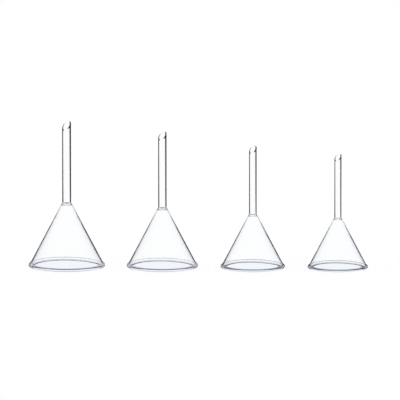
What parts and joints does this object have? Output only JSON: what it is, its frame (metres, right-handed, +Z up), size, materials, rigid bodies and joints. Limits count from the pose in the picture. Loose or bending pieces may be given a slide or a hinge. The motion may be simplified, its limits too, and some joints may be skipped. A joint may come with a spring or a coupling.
{
  "type": "conical funnel set",
  "caption": "Graded set of plain conical glass laboratory funnels with beaded rims and slant-cut stems, standing mouth down in a row.",
  "frame": {"origin": "on the bench, at the centre of the row's bounding box", "axes": "+Z up along the stems, +X along the row from the widest funnel to the narrowest, +Y away from the front line of the rims"},
  "size_m": [0.3327, 0.075, 0.1436],
  "materials": {
    "clear_glass": "polished clear glass, fire-polished at the rim and tip"
  },
  "bodies": {
    "root": {"cone_75": "clear_glass", "stem_75": "clear_glass", "cone_70": "clear_glass", "stem_70": "clear_glass", "cone_63": "clear_glass", "stem_63": "clear_glass", "cone_59": "clear_glass", "stem_59": "clear_glass"}
  },
  "joints": []
}
